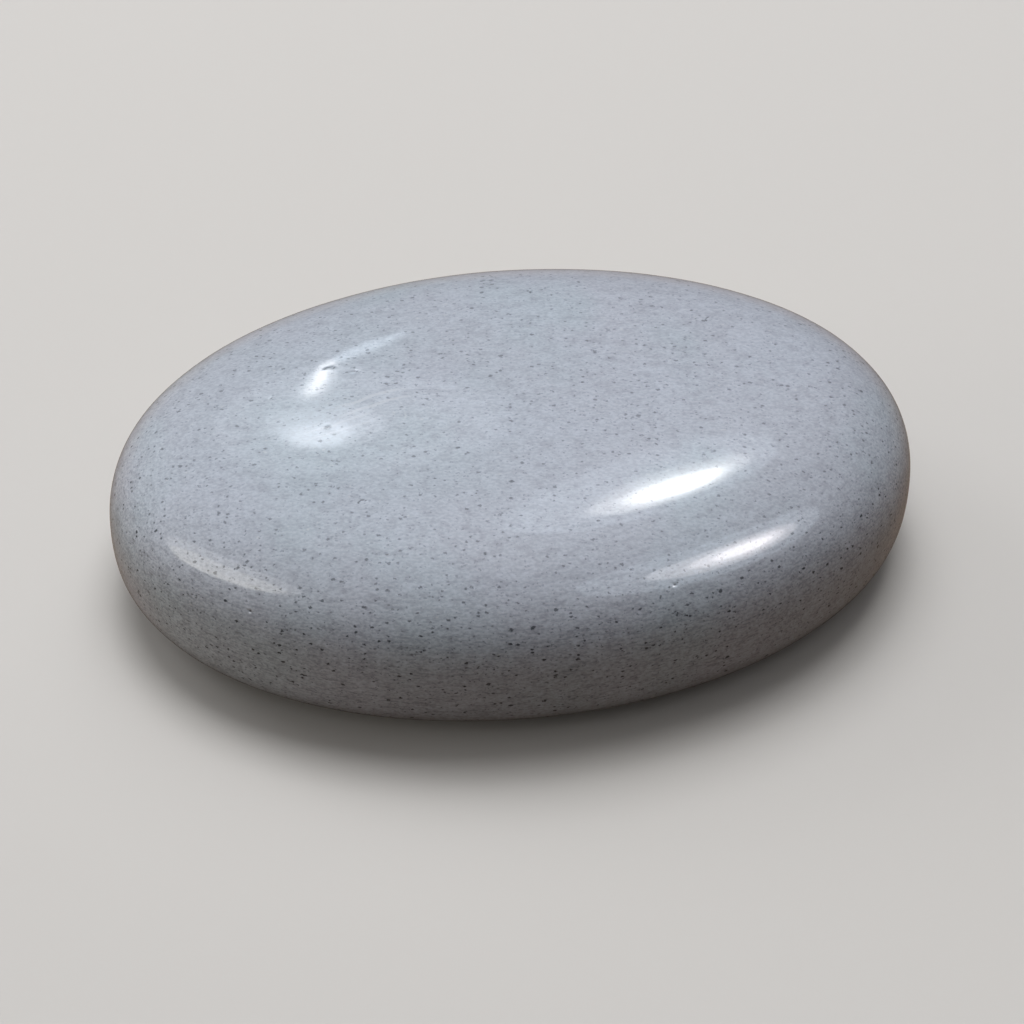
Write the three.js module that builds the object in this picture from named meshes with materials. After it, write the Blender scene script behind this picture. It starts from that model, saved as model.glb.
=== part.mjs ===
// A basalt massage stone: one solid, palm-sized oval stone with a gently crowned top, a soft shoulder,
// a rounded side and a flat foot to rest on. Millimetres, +Z up, origin at the middle of the foot.
import * as THREE from 'three';

// Driving dimensions.
const stoneLength = 100; // along X
const stoneWidth = 70; // along Y
const stoneThickness = 25; // along Z, from the foot to the middle of the top
const widestHeight = 9.5; // height of the widest outline above the foot
const crownRise = 2.8; // how much the gentle dome adds at the middle of the top

// The shoulder is the round from the top down to the widest outline.
const shoulderReach = 17; // how far in from the widest outline it starts
const shoulderFullness = 2.75; // 2 is a plain ellipse, and more is squarer

// The underside is the round from the widest outline down to the flat foot.
const undersideReach = 15; // how far in from the widest outline it ends
const undersideFullness = 2.6;

// Mesh resolution.
const sectorCount = 88;
const undersideSteps = 10;
const shoulderSteps = 14;
const crownSteps = 8;

const halfLength = stoneLength / 2;
const halfWidth = stoneWidth / 2;
const shoulderRise = stoneThickness - widestHeight - crownRise;

// A point of a superellipse round at one of its steps. The share of its reach runs from 0 at the widest
// outline to 1 where the round ends, and the share of its rise runs with it.
function roundPoint(step, stepCount, fullness) {
  const angle = (step / stepCount) * (Math.PI / 2);
  return {
    reachShare: 1 - Math.cos(angle) ** (2 / fullness),
    riseShare: Math.sin(angle) ** (2 / fullness),
  };
}

// The profile along the stone's long half: from the foot's middle out, up the side and in over the top.
function stoneProfile() {
  const points = [new THREE.Vector2(0, 0)];
  for (let step = undersideSteps; step > 0; step -= 1) {
    const { reachShare, riseShare } = roundPoint(step, undersideSteps, undersideFullness);
    const radius = halfLength - undersideReach * reachShare;
    points.push(new THREE.Vector2(radius, widestHeight * (1 - riseShare)));
  }
  for (let step = 0; step <= shoulderSteps; step += 1) {
    const { reachShare, riseShare } = roundPoint(step, shoulderSteps, shoulderFullness);
    const radius = halfLength - shoulderReach * reachShare;
    points.push(new THREE.Vector2(radius, widestHeight + shoulderRise * riseShare));
  }
  const topRadius = halfLength - shoulderReach;
  for (let step = crownSteps - 1; step >= 0; step -= 1) {
    const radius = (topRadius * step) / crownSteps;
    points.push(new THREE.Vector2(radius, widestHeight + shoulderRise));
  }
  return points;
}

// Moves a point of the turned profile, in place, to where it lies on the oval stone.
function shapeStonePoint(point) {
  const onUpperSide = point.z > widestHeight;
  const reach = onUpperSide ? shoulderReach : undersideReach;
  const bearing = Math.atan2(point.y, point.x);
  const radius = Math.hypot(point.x, point.y);

  // The rounds keep the same reach on the long and the short sides, and the faces inside them scale to fit.
  const inset = Math.min(halfLength - radius, reach);
  const faceShare = Math.min(radius / (halfLength - reach), 1);
  point.x = (halfLength - inset) * faceShare * Math.cos(bearing);
  point.y = (halfWidth - inset) * faceShare * Math.sin(bearing);
  if (onUpperSide) {
    const outwardShare = Math.hypot(point.x / halfLength, point.y / halfWidth);
    point.z += crownRise * (1 - outwardShare ** 2);
  }
}

function makeStoneGeometry() {
  const geometry = new THREE.LatheGeometry(stoneProfile(), sectorCount);
  geometry.rotateX(Math.PI / 2); // the lathe turns about Y, and the stone stands along Z
  const positions = geometry.getAttribute('position');
  const point = new THREE.Vector3();
  for (let index = 0; index < positions.count; index += 1) {
    point.fromBufferAttribute(positions, index);
    shapeStonePoint(point);
    positions.setXYZ(index, point.x, point.y, point.z);
  }
  geometry.computeVertexNormals();
  return geometry;
}

const polishedStone = new THREE.MeshStandardMaterial({
  color: new THREE.Color().setRGB(0.62, 0.65, 0.69, THREE.SRGBColorSpace),
  roughness: 0.35,
  metalness: 0,
});

const stone = new THREE.Mesh(makeStoneGeometry(), polishedStone);
stone.name = 'stone';

const massageStone = new THREE.Group();
massageStone.add(stone);

export default massageStone;
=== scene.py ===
"""A basalt massage stone on a plain pale floor, in soft studio light. Metres, +Z up."""

import math
import random

import bpy
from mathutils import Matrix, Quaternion, Vector


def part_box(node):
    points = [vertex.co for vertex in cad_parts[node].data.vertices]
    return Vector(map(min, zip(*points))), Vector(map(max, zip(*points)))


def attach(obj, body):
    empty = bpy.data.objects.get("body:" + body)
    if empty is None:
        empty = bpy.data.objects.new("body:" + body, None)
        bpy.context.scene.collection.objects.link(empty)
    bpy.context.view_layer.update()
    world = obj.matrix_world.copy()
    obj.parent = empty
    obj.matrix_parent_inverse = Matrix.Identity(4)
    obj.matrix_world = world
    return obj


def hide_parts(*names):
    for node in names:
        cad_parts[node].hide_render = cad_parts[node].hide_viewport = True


MM = 0.001
MM_PER_METRE = 1000.0

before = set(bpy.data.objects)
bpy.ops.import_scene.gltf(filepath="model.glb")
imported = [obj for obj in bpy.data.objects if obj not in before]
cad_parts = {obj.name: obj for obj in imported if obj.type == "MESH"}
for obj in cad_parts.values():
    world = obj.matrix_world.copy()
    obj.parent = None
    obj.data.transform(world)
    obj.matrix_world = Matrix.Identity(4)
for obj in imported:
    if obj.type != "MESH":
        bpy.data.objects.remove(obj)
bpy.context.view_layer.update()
stone_low, stone_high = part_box("stone")
STONE_CENTRE = (stone_low + stone_high) / 2
STONE_SIZE = stone_high - stone_low
HALF_LENGTH = STONE_SIZE.x / 2

# Camera: a long lens and a square view, looking down on the stone with its left end nearer.
CAMERA_AZIMUTH = math.radians(-9.4)
CAMERA_ELEVATION = math.radians(42)
CAMERA_DISTANCE = 6.5 * HALF_LENGTH
SENSOR_WIDTH = 36.0
LENS = 92.3
AIM_RIGHT = -0.0045 * HALF_LENGTH  # the stone sits a little right of the middle of the view
AIM_UP = -0.097 * HALF_LENGTH  # and a little above it

# Stage.
FLOOR_SIDE = 6.0
FLOOR_COLOUR = (0.50, 0.49, 0.48)
FLOOR_ROUGHNESS = 0.8
DIM_BOARD_COLOUR = (0.165, 0.120, 0.088)
DIM_BOARD_DROP = 0.3 * MM
BACKDROP_RADIUS = 1.15
BACKDROP_COLOUR = (0.56, 0.55, 0.535)
ROOM_LIGHT = (1.0, 0.85, 0.7, 1)
ROOM_LIGHT_STRENGTH = 0.072

LAMP_DISTANCE = 1.2
WHITE = (1.0, 1.0, 1.0)
PALE_BLUE = (0.76, 0.88, 1.0)
ICE_BLUE = (0.86, 0.91, 1.0)
PALE_PINK = (1.0, 0.94, 0.95)
CREAM = (1.0, 0.96, 0.85)

# Each lamp is its name, azimuth, elevation, width, height, watts, colour and roll. Angles are in degrees:
# azimuth goes from straight behind the stone as the camera sees it, width and height are how large the lamp
# looks from the stone, and roll turns it about its own beam.
# Soft lamps, most of them at the back left and overhead, shape the stone and aren't mirrored in it.
SOFT_LAMPS = (
    ("window_softbox", -24, 64, 24, 24, 5.5, WHITE, 0),
    ("overhead_softbox", 20, 76, 26, 26, 6.9, WHITE, 0),
    ("ceiling_softbox", -50, 80, 80, 80, 3.2, WHITE, 0),
    ("back_right_softbox", 24, 50, 26, 26, 1.8, WHITE, 0),
    ("left_softbox", -56, 28, 28, 28, 3.6, WHITE, 0),
    ("low_left_fill", -92, 6, 26, 9, 4.6, CREAM, 0),
    ("front_fill", -178, 50, 30, 30, 1.2, WHITE, 0),
)
# These lamps only make the bright marks in the polish. Each mark is a lamp and the softer ones round it.
MIRRORED_LAMPS = (
    ("right_lamp", 17.0, 53.6, 3.6, 5.8, 0.32, WHITE, -22),
    ("right_lamp_rim", 16.9, 53.9, 5.4, 8.2, 0.27, WHITE, -22),
    ("right_lamp_halo", 16.6, 54.2, 8.0, 12, 0.34, WHITE, -22),
    ("right_lamp_tail", 14.8, 57.0, 6.0, 7.0, 0.10, WHITE, -30),
    ("right_lamp_glow", 15.5, 55.5, 15, 22, 0.60, PALE_BLUE, -22),
    ("front_right_lamp", 107, 49.0, 12, 8.5, 0.85, PALE_PINK, -42),
    ("front_right_rim", 108, 49.5, 19, 14, 1.6, PALE_PINK, -42),
    ("front_right_halo", 110, 50, 28, 20, 2.3, PALE_PINK, -42),
    ("front_right_glow", 112, 51, 46, 34, 3.6, PALE_BLUE, -42),
    ("back_left_strip", -11.35, 36.2, 0.65, 4.0, 0.042, WHITE, -25),
    ("back_left_rim", -11.35, 36.2, 1.4, 5.0, 0.018, PALE_BLUE, -26),
    ("back_left_tail", -8.3, 32.9, 1.3, 4.8, 0.028, PALE_BLUE, -42),
    ("back_left_glow", -12.6, 42.2, 3.8, 2.8, 0.052, ICE_BLUE, -30),
    ("back_left_haze", -11.8, 41.8, 6.0, 5.0, 0.08, ICE_BLUE, -32),
    ("back_left_mist", -12.4, 41.5, 18, 13, 0.24, ICE_BLUE, -30),
    ("left_strip", -112, 28, 38, 5, 0.23, CREAM, 39),
    ("left_strip_glow", -109.5, 32, 40, 14, 1.25, CREAM, 39),
    ("left_strip_haze", -108.0, 35, 46, 22, 1.8, WHITE, 39),
)

# Colours of the stone.
MAUVE_GREY = (0.346, 0.374, 0.438, 1)
BLUE_GREEN_GREY = (0.325, 0.382, 0.438, 1)
PALE_BLUE_GREY = (0.357, 0.392, 0.462, 1)
GRAIN_COLOUR = (0.040, 0.048, 0.062, 1)
FLECK_COLOUR = (0.50, 0.52, 0.55, 1)
SCUFF_COLOUR = (0.47, 0.50, 0.55, 1)

# Grains. Each size has so many cells to the millimetre, a share of them that hold a grain, and the grain's
# radius and soft edge in millimetres. BEDDING_TURN brings the bedding's direction onto X.
BEDDING_TURN = math.radians(9.4)
GRAIN_STRAY = (0.5, 0.35, 0.3)  # in millimetres
GRAIN_STRETCH = (0.72, 1.0, 1.15)
DARK_GRAINS = {"per_mm": 1.1, "share": 0.6, "radius": 0.26, "edge": 0.09}
MIDDLE_GRAINS = {"per_mm": 1.6, "share": 0.75, "radius": 0.21, "edge": 0.09}
SMALL_GRAINS = {"per_mm": 2.7, "share": 0.8, "radius": 0.16, "edge": 0.07}
PALE_FLECKS = {"per_mm": 1.2, "share": 0.35, "radius": 0.22, "edge": 0.14}
GRAIN_STRENGTH = 0.78
SMALL_GRAIN_STRENGTH = 0.42
FLECK_STRENGTH = 0.35

# Clouds and fine grain of the ground. A range is where a noise starts to count and where it counts in full.
CLOUD_RANGE = (0.42, 0.66)
CLOUD_STRENGTH = 0.7
PALE_CLOUD_RANGE = (0.42, 0.68)
PALE_CLOUD_STRENGTH = 0.6
PATCH_PLACE = (-19.0, 0.0)
PATCH_RADIUS = 34.0
PATCH_STRENGTH = 0.95
PATCH_CLOUD_RANGE = (0.25, 0.60)
NOISE_RANGE = (0.25, 0.75)
MOTTLING_STRENGTH = 0.075
FINE_GRAIN_STRENGTH = 0.15
BEDDING_RANGE = (0.50, 0.36)
BEDDING_STRENGTH = 0.13

# The side shows the bedding edge on and is rubbed less, so its grain is bolder than the top's. Its tone is
# painted shade, darker on the side and a little lighter on the top. Heights in millimetres, with what the
# value is above the first and below the second.
BOLDNESS_HEIGHTS = (23.4, 15.0)
BOLDNESS = (0.66, 1.35)
SIDE_SHADE_HEIGHTS = (20.0, 14.0)
SIDE_SHADE = (1.02, 0.97)

# Scuffs. Each set is arcs about a centre, between two radii, so many to the millimetre, and kept within a
# reach of a place.
SCUFFS = (
    ((-18.0, -0.4), (5.0, 7.6), 1.5, (-11.0, -0.5), 5.6),
    ((-8.0, -36.5), (38.6, 41.4), 1.3, (-17.0, 2.4), 5.6),
    ((-30.0, 30.0), (31.0, 36.0), 0.9, (-21.0, -3.5), 6.5),
)
SCUFF_RANGE = (0.60, 0.72)
SCUFF_WANDER = 1.1
SCUFF_BAND_EDGE = 0.6
SCUFF_FULL_REACH = 0.45
SCUFF_STRENGTH = 0.42
# How dark the painted shade in the chips and pores is.
HOLLOW_SHADE_STRENGTH = 0.8

# Finish: a satin body under a thin polish, duller in the grains and scuffs.
SATIN_ROUGHNESS = (0.38, 0.46)
GRAIN_DULLNESS = 0.15
SCUFF_DULLNESS = 0.12
SATIN_SPECULAR = 0.2
POLISH_WEIGHT = 0.9
POLISH_ROUGHNESS = 0.065
PITTING = 0.9
TOOTH_DEPTH = 0.012 * MM
POLISH_PITTING = 0.8
POLISHING_LINE_DEPTH = 0.001 * MM

# Form of the stone. The guide is the CAD stone made smooth, and the cage of quads closes onto it.
GUIDE_LEVELS = 2
MERGE_DISTANCE = 0.01 * MM
QUAD_FACE_ANGLE = math.radians(60)
QUAD_SHAPE_ANGLE = math.radians(80)
CAGE_CUTS = 21
RELAX_ROUNDS = 5
RELAX_FACTOR = 0.5
RELAX_REPEATS = 2
FINE_LEVELS = 2
SEAM_HEIGHT = 4.0 * MM
UNFOLD_ROUNDS = 20
UNFOLD_MARGIN = 0.01
WAVE_START = 1.0 * MM
WAVE_FULL = 5.0 * MM
WAVE_LENGTH = 17 * MM
WAVE_STRENGTH = 0.14 * MM

# Small marks. Each chip is x, y and radius in millimetres, then its facing and half span in degrees.
ARC_CHIPS = (
    (-21.3, 9.2, 0.75, 96, 62),
    (-20.2, -15.0, 0.55, 80, 85),
    (-18.0, 8.9, 0.50, 250, 40),
    (27.0, 12.0, 0.60, 150, 60),
    (5.0, 21.0, 0.55, 20, 55),
)
CHIP_CUTS = 4
CHIP_PATCH = 2.2  # the finer patch of mesh round a chip, in radii of the chip
CHIP_HALF_WIDTH = 0.08 * MM
CHIP_DEPTH = 0.08 * MM
CHIP_SOFTNESS = 1.6  # how far the dent spreads, in half widths
CHIP_SEARCH = 2 * MM  # how far above or below its middle a chip may run
PORE_COUNT = 22
PORE_SEED = 7
PORE_CUTS = 3
PORE_PATCH = 0.45 * MM
PORE_WIDTHS = (0.10, 0.17)  # millimetres, as the depths are
PORE_DEPTHS = (0.05, 0.09)
PORE_SOFTNESS = 1.8  # how far the dent spreads, in widths


# ---------------------------------------------------------------- helpers

def deselect_all():
    bpy.ops.object.select_all(action="DESELECT")


def make_active(piece):
    deselect_all()
    piece.select_set(True)
    bpy.context.view_layer.objects.active = piece


def apply_modifier(piece, kind, **settings):
    make_active(piece)
    modifier = piece.modifiers.new(kind.lower(), kind)
    for name, value in settings.items():
        setattr(modifier, name, value)
    bpy.ops.object.modifier_apply(modifier=modifier.name)


def direction(azimuth, elevation):
    """A unit vector. Azimuth 0 points along +Y, 90 along +X; elevation is above the horizon, in degrees."""
    turn = math.radians(azimuth)
    rise = math.radians(elevation)
    return Vector((
        math.sin(turn) * math.cos(rise),
        math.cos(turn) * math.cos(rise),
        math.sin(rise),
    ))


# ---------------------------------------------------------------- camera

def make_camera():
    back = Vector((
        math.sin(CAMERA_AZIMUTH) * math.cos(CAMERA_ELEVATION),
        -math.cos(CAMERA_AZIMUTH) * math.cos(CAMERA_ELEVATION),
        math.sin(CAMERA_ELEVATION),
    ))
    right = Vector((math.cos(CAMERA_AZIMUTH), math.sin(CAMERA_AZIMUTH), 0.0))
    up = back.cross(right)
    place = STONE_CENTRE + back * CAMERA_DISTANCE
    target = STONE_CENTRE + right * AIM_RIGHT + up * AIM_UP
    bpy.ops.object.camera_add(location=place)
    camera = bpy.context.object
    camera.name = "camera"
    camera.rotation_euler = (target - place).to_track_quat("-Z", "Y").to_euler()
    camera.data.sensor_width = SENSOR_WIDTH
    camera.data.lens = LENS
    bpy.context.scene.camera = camera


# ---------------------------------------------------------------- the stone's form

def make_smooth_guide():
    """A merged, subdivided copy of the CAD stone, for the cage to close onto."""
    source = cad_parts["stone"]
    guide = source.copy()
    guide.data = source.data.copy()
    bpy.context.scene.collection.objects.link(guide)
    guide.parent = None
    make_active(guide)
    bpy.ops.object.mode_set(mode="EDIT")
    bpy.ops.mesh.select_all(action="SELECT")
    bpy.ops.mesh.remove_doubles(threshold=MERGE_DISTANCE)
    bpy.ops.mesh.tris_convert_to_quads(face_threshold=QUAD_FACE_ANGLE, shape_threshold=QUAD_SHAPE_ANGLE)
    bpy.ops.object.mode_set(mode="OBJECT")
    apply_modifier(guide, "SUBSURF", levels=GUIDE_LEVELS, render_levels=GUIDE_LEVELS)
    return guide


def edit_selection(piece, kind, chosen):
    """Edit mode on the piece with just these vertices or faces selected."""
    make_active(piece)
    bpy.ops.object.mode_set(mode="EDIT")
    bpy.ops.mesh.select_mode(type=kind)
    bpy.ops.mesh.select_all(action="DESELECT")
    bpy.ops.object.mode_set(mode="OBJECT")
    items = piece.data.vertices if kind == "VERT" else piece.data.polygons
    for index in chosen:
        items[index].select = True
    bpy.ops.object.mode_set(mode="EDIT")


def unfold_for_baking(stone):
    """A seam below the widest line parts the map into the top with its side, and the underside."""
    upper = [face.index for face in stone.data.polygons if face.center.z > SEAM_HEIGHT]
    edit_selection(stone, "FACE", upper)
    bpy.ops.mesh.region_to_loop()
    bpy.ops.mesh.mark_seam()
    bpy.ops.mesh.select_mode(type="FACE")
    bpy.ops.mesh.select_all(action="SELECT")
    bpy.ops.uv.unwrap(method="MINIMUM_STRETCH", iterations=UNFOLD_ROUNDS, margin=UNFOLD_MARGIN)
    bpy.ops.object.mode_set(mode="OBJECT")
    stone.data.uv_layers[0].name = "OFBake"


def add_undulation(stone):
    """Slight waves from hand rubbing, above the foot only, so that the foot stays flat."""
    group = stone.vertex_groups.new(name="above_foot")
    for vertex in stone.data.vertices:
        rise = (vertex.co.z - WAVE_START) / (WAVE_FULL - WAVE_START)
        group.add([vertex.index], min(max(rise, 0.0), 1.0), "REPLACE")
    waves = bpy.data.textures.new("waves", "CLOUDS")
    waves.noise_scale = WAVE_LENGTH
    waves.noise_depth = 1
    apply_modifier(
        stone, "DISPLACE", texture=waves, texture_coords="LOCAL", direction="NORMAL",
        vertex_group=group.name, mid_level=0.5, strength=WAVE_STRENGTH,
    )
    stone.vertex_groups.clear()


def refine_round(stone, place, radius, cuts):
    """Finer mesh round a place, so that a small mark can be pressed into it."""
    near = [face.index for face in stone.data.polygons if (face.center - place).length < radius]
    edit_selection(stone, "FACE", near)
    bpy.ops.mesh.subdivide(number_cuts=cuts)
    bpy.ops.object.mode_set(mode="OBJECT")


def press_in(stone, chosen, outward, depth, reach):
    """Presses the chosen vertices in, with the mesh round them, and notes them as hollows for painted
    shade.
    """
    hollows = stone.data.attributes["hollows"]
    for index in chosen:
        hollows.data[index].value = 1.0
    edit_selection(stone, "VERT", chosen)
    bpy.ops.transform.translate(
        value=tuple(-depth * outward), orient_type="GLOBAL", use_proportional_edit=True,
        proportional_edit_falloff="SMOOTH", proportional_size=reach,
    )
    bpy.ops.object.mode_set(mode="OBJECT")


def add_arc_chip(stone, x, y, radius, facing, half_span):
    """A hairline, crescent-shaped chip in the top. Facing is the way its middle points, in degrees."""
    place = Vector((x, y, 0.0)) * MM
    place.z = max(
        vertex.co.z for vertex in stone.data.vertices
        if math.hypot(vertex.co.x - place.x, vertex.co.y - place.y) < MM
    )
    refine_round(stone, place, CHIP_PATCH * radius * MM, CHIP_CUTS)
    chosen = []
    for vertex in stone.data.vertices:
        offset = vertex.co - place
        if abs(offset.z) > CHIP_SEARCH:
            continue
        bearing = math.degrees(math.atan2(offset.y, offset.x)) - facing
        bearing = (bearing + 180) % 360 - 180  # within half a turn either way
        distance = math.hypot(offset.x, offset.y)
        if abs(bearing) < half_span and abs(distance - radius * MM) < CHIP_HALF_WIDTH:
            chosen.append(vertex.index)
    press_in(stone, chosen, Vector((0.0, 0.0, 1.0)), CHIP_DEPTH, CHIP_SOFTNESS * CHIP_HALF_WIDTH)


def add_pores(stone):
    """A few pinprick pores, scattered over the top and the sides."""
    draw = random.Random(PORE_SEED)
    open_faces = [face for face in stone.data.polygons if face.center.z > WAVE_FULL]
    pores = [(face.center.copy(), face.normal.copy()) for face in draw.sample(open_faces, PORE_COUNT)]
    for place, outward in pores:
        refine_round(stone, place, PORE_PATCH, PORE_CUTS)
        width = draw.uniform(*PORE_WIDTHS) * MM
        chosen = [vertex.index for vertex in stone.data.vertices if (vertex.co - place).length < width]
        if chosen:
            press_in(stone, chosen, outward, draw.uniform(*PORE_DEPTHS) * MM, PORE_SOFTNESS * width)


def make_stone():
    """A cube of quads, rounded and closed onto the guide, then smoothed, waved, chipped and pitted."""
    guide = make_smooth_guide()
    deselect_all()
    bpy.ops.mesh.primitive_cube_add(size=2.0, location=(0.0, 0.0, 0.0))
    stone = bpy.context.object
    stone.name = "massage_stone"
    bpy.ops.object.mode_set(mode="EDIT")
    bpy.ops.mesh.select_all(action="SELECT")
    bpy.ops.mesh.subdivide(number_cuts=CAGE_CUTS)
    bpy.ops.transform.tosphere(value=1.0)
    bpy.ops.transform.resize(value=tuple(STONE_SIZE / 2))
    bpy.ops.transform.translate(value=tuple(STONE_CENTRE))
    bpy.ops.object.mode_set(mode="OBJECT")
    for _ in range(RELAX_ROUNDS):
        apply_modifier(stone, "SHRINKWRAP", target=guide, wrap_method="NEAREST_SURFACEPOINT")
        bpy.ops.object.mode_set(mode="EDIT")
        bpy.ops.mesh.select_all(action="SELECT")
        bpy.ops.mesh.vertices_smooth(factor=RELAX_FACTOR, repeat=RELAX_REPEATS)
        bpy.ops.object.mode_set(mode="OBJECT")
    apply_modifier(stone, "SHRINKWRAP", target=guide, wrap_method="NEAREST_SURFACEPOINT")
    unfold_for_baking(stone)
    apply_modifier(stone, "SUBSURF", levels=FINE_LEVELS, render_levels=FINE_LEVELS)
    bpy.data.objects.remove(guide)
    add_undulation(stone)
    stone.data.attributes.new("hollows", "FLOAT", "POINT")
    for chip in ARC_CHIPS:
        add_arc_chip(stone, *chip)
    add_pores(stone)
    make_active(stone)
    bpy.ops.object.shade_smooth()
    return stone


# ---------------------------------------------------------------- the stone's surface

class Surface:
    """A material's node tree, with one short call for each kind of node it takes."""

    def __init__(self, name):
        self.material = bpy.data.materials.new(name)
        self.material.use_nodes = True
        self.nodes = self.material.node_tree.nodes
        self.links = self.material.node_tree.links
        self.shader = self.nodes["Principled BSDF"]

    def feed(self, socket, value):
        if isinstance(value, bpy.types.NodeSocket):
            self.links.new(value, socket)
        else:
            socket.default_value = value

    def maths(self, operation, first, second=0.0, clamp=False):
        node = self.nodes.new("ShaderNodeMath")
        node.operation = operation
        node.use_clamp = clamp
        self.feed(node.inputs[0], first)
        self.feed(node.inputs[1], second)
        return node.outputs["Value"]

    def placed(self, vector, turn=(0.0, 0.0, 0.0), scale=(1.0, 1.0, 1.0), shift=(0.0, 0.0, 0.0)):
        node = self.nodes.new("ShaderNodeMapping")
        self.feed(node.inputs["Vector"], vector)
        node.inputs["Location"].default_value = shift
        node.inputs["Rotation"].default_value = turn
        node.inputs["Scale"].default_value = scale
        return node.outputs["Vector"]

    def noise(self, vector, scale, detail=2.0, roughness=0.5, output="Fac"):
        node = self.nodes.new("ShaderNodeTexNoise")
        self.feed(node.inputs["Vector"], vector)
        node.inputs["Scale"].default_value = scale
        node.inputs["Detail"].default_value = detail
        node.inputs["Roughness"].default_value = roughness
        return node.outputs[output]

    def between(self, value, low, high, to_low=0.0, to_high=1.0):
        """The value carried smoothly from low..high to to_low..to_high, and held beyond it."""
        node = self.nodes.new("ShaderNodeMapRange")
        node.interpolation_type = "SMOOTHSTEP"
        self.feed(node.inputs["Value"], value)
        node.inputs["From Min"].default_value = low
        node.inputs["From Max"].default_value = high
        node.inputs["To Min"].default_value = to_low
        node.inputs["To Max"].default_value = to_high
        return node.outputs["Result"]

    def grains(self, vector, per_mm, share, radius, edge):
        """Round grains of up to the radius in millimetres: 1 inside and 0 outside, over a soft edge."""
        cells = self.nodes.new("ShaderNodeTexVoronoi")
        self.feed(cells.inputs["Vector"], vector)
        cells.inputs["Scale"].default_value = per_mm
        lot = self.nodes.new("ShaderNodeSeparateColor")
        self.feed(lot.inputs["Color"], cells.outputs["Color"])
        chosen = self.maths("SUBTRACT", lot.outputs["Red"], 1.0 - share)
        reach = self.maths("MULTIPLY", chosen, radius * per_mm / share)
        inside = self.maths("SUBTRACT", reach, cells.outputs["Distance"])
        return self.maths("DIVIDE", inside, edge * per_mm, clamp=True)

    def distance_in_plan(self, coordinates, place):
        """How far each point is from a place on the plan, in millimetres."""
        offset = self.placed(
            coordinates, scale=(MM_PER_METRE, MM_PER_METRE, 0.0), shift=(-place[0], -place[1], 0.0),
        )
        span = self.nodes.new("ShaderNodeVectorMath")
        span.operation = "LENGTH"
        self.feed(span.inputs[0], offset)
        return span.outputs["Value"]

    def mixed(self, share, first, second):
        """A mix of two colours, by the share of the second. The Mix node's colour sockets go by number."""
        node = self.nodes.new("ShaderNodeMix")
        node.data_type = "RGBA"
        self.feed(node.inputs["Factor"], share)
        self.feed(node.inputs[6], first)
        self.feed(node.inputs[7], second)
        return node.outputs[2]

    def bump(self, height, distance):
        node = self.nodes.new("ShaderNodeBump")
        node.inputs["Strength"].default_value = 1.0
        node.inputs["Distance"].default_value = distance
        self.feed(node.inputs["Height"], height)
        return node.outputs["Normal"]


def ragged_along_bedding(surface, in_mm):
    """The rock's own place, strayed a little so that grains are ragged, and drawn out along the bedding."""
    stray = surface.noise(in_mm, 3.0, detail=1.0, output="Color")
    jitter = surface.nodes.new("ShaderNodeVectorMath")
    jitter.operation = "MULTIPLY_ADD"
    surface.feed(jitter.inputs[0], stray)
    jitter.inputs[1].default_value = GRAIN_STRAY
    surface.feed(jitter.inputs[2], in_mm)
    return surface.placed(jitter.outputs["Vector"], scale=GRAIN_STRETCH)


def clouded_ground(surface, coordinates, in_mm):
    """Mauve-grey with broad blue-green clouds, more of them on the left of the top, and pale blue ones."""
    clouds = surface.noise(surface.placed(in_mm, shift=(12.0, 4.0, 7.0)), 0.055)
    pale_clouds = surface.noise(surface.placed(in_mm, shift=(-40.0, 21.0, 3.0)), 0.05)
    distance = surface.distance_in_plan(coordinates, PATCH_PLACE)
    patch = surface.between(distance, PATCH_RADIUS, 0.0, 0.0, PATCH_STRENGTH)
    patch = surface.maths("MULTIPLY", patch, surface.between(clouds, *PATCH_CLOUD_RANGE))
    tint = surface.maths("MAXIMUM", surface.between(clouds, *CLOUD_RANGE, 0.0, CLOUD_STRENGTH), patch)
    ground = surface.mixed(tint, MAUVE_GREY, BLUE_GREEN_GREY)
    pale_tint = surface.between(pale_clouds, *PALE_CLOUD_RANGE, 0.0, PALE_CLOUD_STRENGTH)
    return surface.mixed(pale_tint, ground, PALE_BLUE_GREY)


def grained_tone_and_side_shade(surface, in_mm, height, boldness, mottling, fine_grain):
    """How light the ground is, from mottling, fine grain and dark bedding lines, with painted shade on the
    side.
    """
    bedding = surface.noise(
        surface.placed(in_mm, scale=(0.35, 0.6, 2.4)), 1.3, detail=2.0, roughness=0.6,
    )
    bedding_lines = surface.between(bedding, *BEDDING_RANGE)
    grain = surface.between(mottling, *NOISE_RANGE, -MOTTLING_STRENGTH, MOTTLING_STRENGTH)
    fine = surface.between(fine_grain, *NOISE_RANGE, -FINE_GRAIN_STRENGTH, FINE_GRAIN_STRENGTH)
    grain = surface.maths("ADD", grain, fine)
    grain = surface.maths("SUBTRACT", grain, surface.maths("MULTIPLY", bedding_lines, BEDDING_STRENGTH))
    # Painted shade: the side is darkened below the top, and the top is lightened a little.
    painted_side_shade = surface.between(height, *SIDE_SHADE_HEIGHTS, *SIDE_SHADE)
    return surface.maths("ADD", surface.maths("MULTIPLY", grain, boldness), painted_side_shade)


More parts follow.
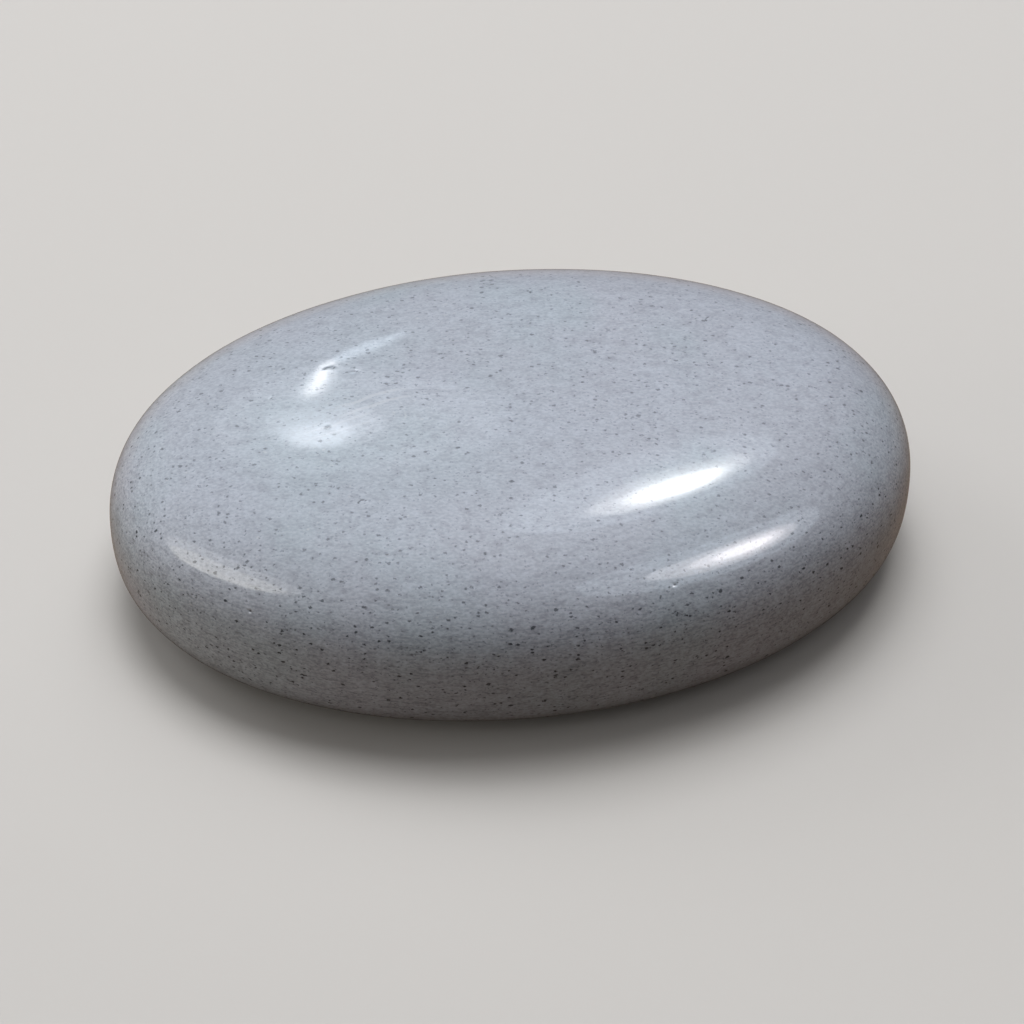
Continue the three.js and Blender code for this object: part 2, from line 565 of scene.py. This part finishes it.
def rubbing_scuffs(surface, coordinates, in_mm):
    """Fine rubbing scuffs on the left of the top: one short curl, and long strokes across it."""
    wander = surface.maths("MULTIPLY", surface.noise(in_mm, 0.35, detail=1.0), SCUFF_WANDER)
    scuffs = 0.0
    for centre, (inner, outer), per_mm, window, reach in SCUFFS:
        from_centre = surface.distance_in_plan(coordinates, centre)
        from_window = surface.distance_in_plan(coordinates, window)
        lines = surface.nodes.new("ShaderNodeTexNoise")
        lines.noise_dimensions = "1D"
        surface.feed(lines.inputs["W"], surface.maths("ADD", from_centre, wander))
        lines.inputs["Scale"].default_value = per_mm
        lines.inputs["Detail"].default_value = 0.0
        fine_lines = surface.between(lines.outputs["Fac"], *SCUFF_RANGE)
        band = surface.maths(
            "MULTIPLY",
            surface.between(from_centre, inner - SCUFF_BAND_EDGE, inner),
            surface.between(from_centre, outer + SCUFF_BAND_EDGE, outer),
        )
        nearby = surface.between(from_window, reach, reach * SCUFF_FULL_REACH)
        kept = surface.maths("MULTIPLY", band, nearby)
        scuffs = surface.maths("MAXIMUM", scuffs, surface.maths("MULTIPLY", fine_lines, kept))
    return scuffs


def add_finish(surface, in_mm, mottling, fine_grain, dark_grains, scuffs):
    """The satin body's gloss and fine relief, and the thin polish with its faint polishing lines."""
    sheen = surface.between(mottling, *NOISE_RANGE, *SATIN_ROUGHNESS)
    sheen = surface.maths("ADD", sheen, surface.maths("MULTIPLY", dark_grains, GRAIN_DULLNESS))
    sheen = surface.maths("ADD", sheen, surface.maths("MULTIPLY", scuffs, SCUFF_DULLNESS))
    sockets = surface.shader.inputs
    surface.feed(sockets["Roughness"], sheen)
    sockets["Specular IOR Level"].default_value = SATIN_SPECULAR
    sockets["Coat Weight"].default_value = POLISH_WEIGHT
    sockets["Coat Roughness"].default_value = POLISH_ROUGHNESS

    tooth = surface.maths("SUBTRACT", fine_grain, surface.maths("MULTIPLY", dark_grains, PITTING))
    surface.feed(sockets["Normal"], surface.bump(tooth, TOOTH_DEPTH))
    lines = surface.noise(
        surface.placed(in_mm, scale=(0.12, 1.6, 2.2)), 1.7, detail=2.0, roughness=0.6,
    )
    lines = surface.maths("SUBTRACT", lines, surface.maths("MULTIPLY", dark_grains, POLISH_PITTING))
    surface.feed(sockets["Coat Normal"], surface.bump(lines, POLISHING_LINE_DEPTH))


def make_basalt():
    """Pale blue-grey stone rubbed to a satin polish, with dark and pale grains, bedding and scuffs.
    Its side and its chips and pores carry painted shade.
    """
    surface = Surface("satin_basalt")
    coordinates = surface.nodes.new("ShaderNodeTexCoord").outputs["Object"]
    # The rock's own place, in millimetres with X along the bedding.
    in_mm = surface.placed(coordinates, turn=(0.0, 0.0, BEDDING_TURN), scale=(MM_PER_METRE,) * 3)
    axes = surface.nodes.new("ShaderNodeSeparateXYZ")
    surface.feed(axes.inputs["Vector"], in_mm)
    height = axes.outputs["Z"]
    boldness = surface.between(height, *BOLDNESS_HEIGHTS, *BOLDNESS)
    mottling = surface.noise(in_mm, 0.6, detail=3.0, roughness=0.55)
    fine_grain = surface.noise(
        surface.placed(in_mm, scale=(0.65, 1.0, 1.2)), 3.2, detail=2.0, roughness=0.55,
    )

    toned = surface.nodes.new("ShaderNodeVectorMath")
    toned.operation = "SCALE"
    surface.feed(toned.inputs[0], clouded_ground(surface, coordinates, in_mm))
    tone_and_side_shade = grained_tone_and_side_shade(surface, in_mm, height, boldness, mottling, fine_grain)
    surface.feed(toned.inputs["Scale"], tone_and_side_shade)

    # The flecks and the middle grains are shifted in the rock, so that they lie apart from the others.
    along = ragged_along_bedding(surface, in_mm)
    pale_flecks = surface.grains(surface.placed(along, shift=(31.0, 17.0, 5.0)), **PALE_FLECKS)
    small_grains = surface.grains(along, **SMALL_GRAINS)
    middle_grains = surface.grains(surface.placed(along, shift=(7.0, 3.0, 11.0)), **MIDDLE_GRAINS)
    dark_grains = surface.grains(along, **DARK_GRAINS)
    flecks = surface.maths("MULTIPLY", pale_flecks, FLECK_STRENGTH)
    colour = surface.mixed(flecks, toned.outputs["Vector"], FLECK_COLOUR)
    small_depth = surface.maths("MULTIPLY", boldness, SMALL_GRAIN_STRENGTH)
    grain_depth = surface.maths("MULTIPLY", boldness, GRAIN_STRENGTH)
    for grains, depth in (
        (small_grains, small_depth), (middle_grains, grain_depth), (dark_grains, grain_depth),
    ):
        colour = surface.mixed(surface.maths("MULTIPLY", grains, depth), colour, GRAIN_COLOUR)

    scuffs = rubbing_scuffs(surface, coordinates, in_mm)
    colour = surface.mixed(surface.maths("MULTIPLY", scuffs, SCUFF_STRENGTH), colour, SCUFF_COLOUR)
    # Painted shade: the chips and pores are darkened towards the grain colour.
    hollows = surface.nodes.new("ShaderNodeAttribute")
    hollows.attribute_name = "hollows"
    hollow_shade = surface.maths("MULTIPLY", hollows.outputs["Fac"], HOLLOW_SHADE_STRENGTH)
    colour = surface.mixed(hollow_shade, colour, GRAIN_COLOUR)
    surface.feed(surface.shader.inputs["Base Color"], colour)
    add_finish(surface, in_mm, mottling, fine_grain, dark_grains, scuffs)
    return surface.material


# ---------------------------------------------------------------- stage

def make_floor():
    """The pale floor in view, and just under it a dim warm board that the stone's side picks up instead."""
    for name, drop, colour in (
        ("floor", 0.0, FLOOR_COLOUR), ("dim_board", DIM_BOARD_DROP, DIM_BOARD_COLOUR),
    ):
        deselect_all()
        bpy.ops.mesh.primitive_plane_add(size=FLOOR_SIDE, location=(0, 0, -drop))
        plane = bpy.context.object
        plane.name = name
        material = bpy.data.materials.new(name)
        material.use_nodes = True
        shader = material.node_tree.nodes["Principled BSDF"]
        shader.inputs["Base Color"].default_value = (*colour, 1)
        shader.inputs["Roughness"].default_value = FLOOR_ROUGHNESS
        plane.data.materials.append(material)
        in_view = name == "floor"
        plane.visible_camera = in_view
        plane.visible_diffuse = not in_view
        plane.visible_glossy = not in_view
        plane.visible_shadow = not in_view


def make_backdrop():
    """A plain pale surround for low views. Only the camera sees it: it doesn't light or shade the stone."""
    deselect_all()
    bpy.ops.mesh.primitive_uv_sphere_add(segments=48, ring_count=24, radius=BACKDROP_RADIUS)
    backdrop = bpy.context.object
    backdrop.name = "backdrop"
    bpy.ops.object.shade_smooth()
    material = bpy.data.materials.new("backdrop")
    material.use_nodes = True
    shader = material.node_tree.nodes["Principled BSDF"]
    shader.inputs["Base Color"].default_value = (0, 0, 0, 1)
    shader.inputs["Specular IOR Level"].default_value = 0.0
    shader.inputs["Emission Color"].default_value = (*BACKDROP_COLOUR, 1)
    shader.inputs["Emission Strength"].default_value = 1.0
    backdrop.data.materials.append(material)
    backdrop.visible_diffuse = False
    backdrop.visible_glossy = False
    backdrop.visible_shadow = False


def make_lamp(name, azimuth, elevation, width, height, watts, colour, roll, mirrored):
    """A lamp aimed at the stone. A mirrored one shows in the polish alone, and any other only lights."""
    beam = direction(azimuth - math.degrees(CAMERA_AZIMUTH), elevation)
    bpy.ops.object.light_add(type="AREA", location=STONE_CENTRE + beam * LAMP_DISTANCE)
    lamp = bpy.context.object
    lamp.name = name
    aim = (-beam).to_track_quat("-Z", "Y")
    lamp.rotation_euler = (aim @ Quaternion((0.0, 0.0, 1.0), math.radians(roll))).to_euler()
    lamp.data.shape = "ELLIPSE" if mirrored else "RECTANGLE"
    lamp.data.size = 2 * LAMP_DISTANCE * math.tan(math.radians(width / 2))
    lamp.data.size_y = 2 * LAMP_DISTANCE * math.tan(math.radians(height / 2))
    lamp.data.energy = watts
    lamp.data.color = colour
    lamp.visible_glossy = mirrored
    lamp.visible_diffuse = not mirrored


def make_lights():
    for lamp in SOFT_LAMPS:
        make_lamp(*lamp, mirrored=False)
    for lamp in MIRRORED_LAMPS:
        make_lamp(*lamp, mirrored=True)
    world = bpy.data.worlds.new("studio")
    bpy.context.scene.world = world
    world.use_nodes = True
    room = world.node_tree.nodes["Background"]
    room.inputs["Color"].default_value = ROOM_LIGHT
    room.inputs["Strength"].default_value = ROOM_LIGHT_STRENGTH


make_camera()
stone = make_stone()
stone.data.materials.append(make_basalt())
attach(stone, "root")
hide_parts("stone")
make_floor()
make_backdrop()
make_lights()
bpy.context.scene.view_settings.view_transform = "Standard"
